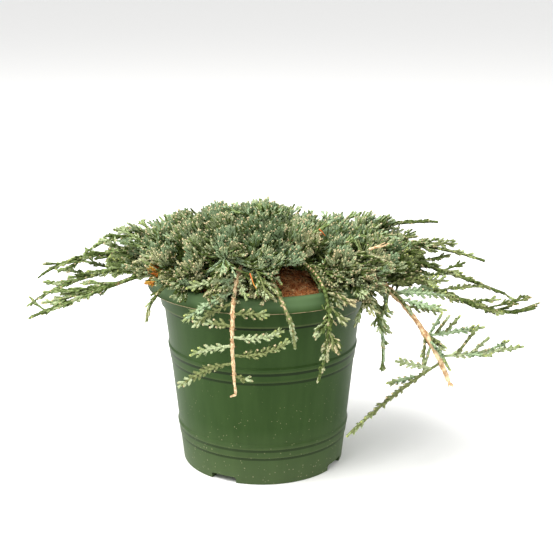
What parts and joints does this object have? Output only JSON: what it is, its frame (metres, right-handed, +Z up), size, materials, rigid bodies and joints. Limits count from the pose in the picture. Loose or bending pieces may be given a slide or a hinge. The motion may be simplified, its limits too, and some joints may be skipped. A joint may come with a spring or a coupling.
{
  "type": "potted creeping juniper",
  "caption": "Low creeping juniper: a domed crown of feathery sprays with long stems that run out and hang over the rim of its round, tapering nursery pot.",
  "frame": {"origin": "centre of the pot's flat underside, on the surface that the pot stands on", "axes": "+Z up along the pot's axis, -Y towards the front that the picture shows, +X to the right"},
  "size_m": [0.3989, 0.2595, 0.2143],
  "materials": {
    "pot": "satin moulded polypropylene",
    "soil": "rough coir fibre and peat",
    "bark": "peeling papery bark",
    "foliage": "matt scale leaves"
  },
  "bodies": {
    "root": {"pot": "pot", "root_ball": "soil", "trunk": "bark", "bough_crown_top": "bark", "bough_crown_front": "bark", "bough_crown_front_middle": "bark", "bough_crown_front_left": "bark", "bough_crown_front_right": "bark", "bough_crown_right": "bark", "bough_crown_back": "bark", "bough_crown_left": "bark", "bough_left_low": "bark", "bough_left_middle": "bark", "bough_left_upper": "bark", "bough_left_back": "bark", "bough_front_left": "bark", "bough_front_hanging": "bark", "bough_front_short": "bark", "bough_front_right": "bark", "bough_right_front": "bark", "bough_right_hanging": "bark", "bough_right_low": "bark", "bough_right_outer": "bark", "bough_right_middle": "bark", "bough_right_upper": "bark", "bough_back_right": "bark", "bough_back_middle": "bark", "bough_back_left": "bark", "foliage_crown_top": "foliage", "foliage_crown_front": "foliage", "foliage_crown_front_middle": "foliage", "foliage_crown_front_left": "foliage", "foliage_crown_front_right": "foliage", "foliage_crown_right": "foliage", "foliage_crown_back": "foliage", "foliage_crown_left": "foliage", "foliage_left_low": "foliage", "foliage_left_middle": "foliage", "foliage_left_upper": "foliage", "foliage_left_back": "foliage", "foliage_front_left": "foliage", "foliage_front_hanging": "foliage", "foliage_front_short": "foliage", "foliage_front_right": "foliage", "foliage_right_front": "foliage", "foliage_right_hanging": "foliage", "foliage_right_low": "foliage", "foliage_right_outer": "foliage", "foliage_right_middle": "foliage", "foliage_right_upper": "foliage", "foliage_back_right": "foliage", "foliage_back_middle": "foliage", "foliage_back_left": "foliage"}
  },
  "joints": []
}
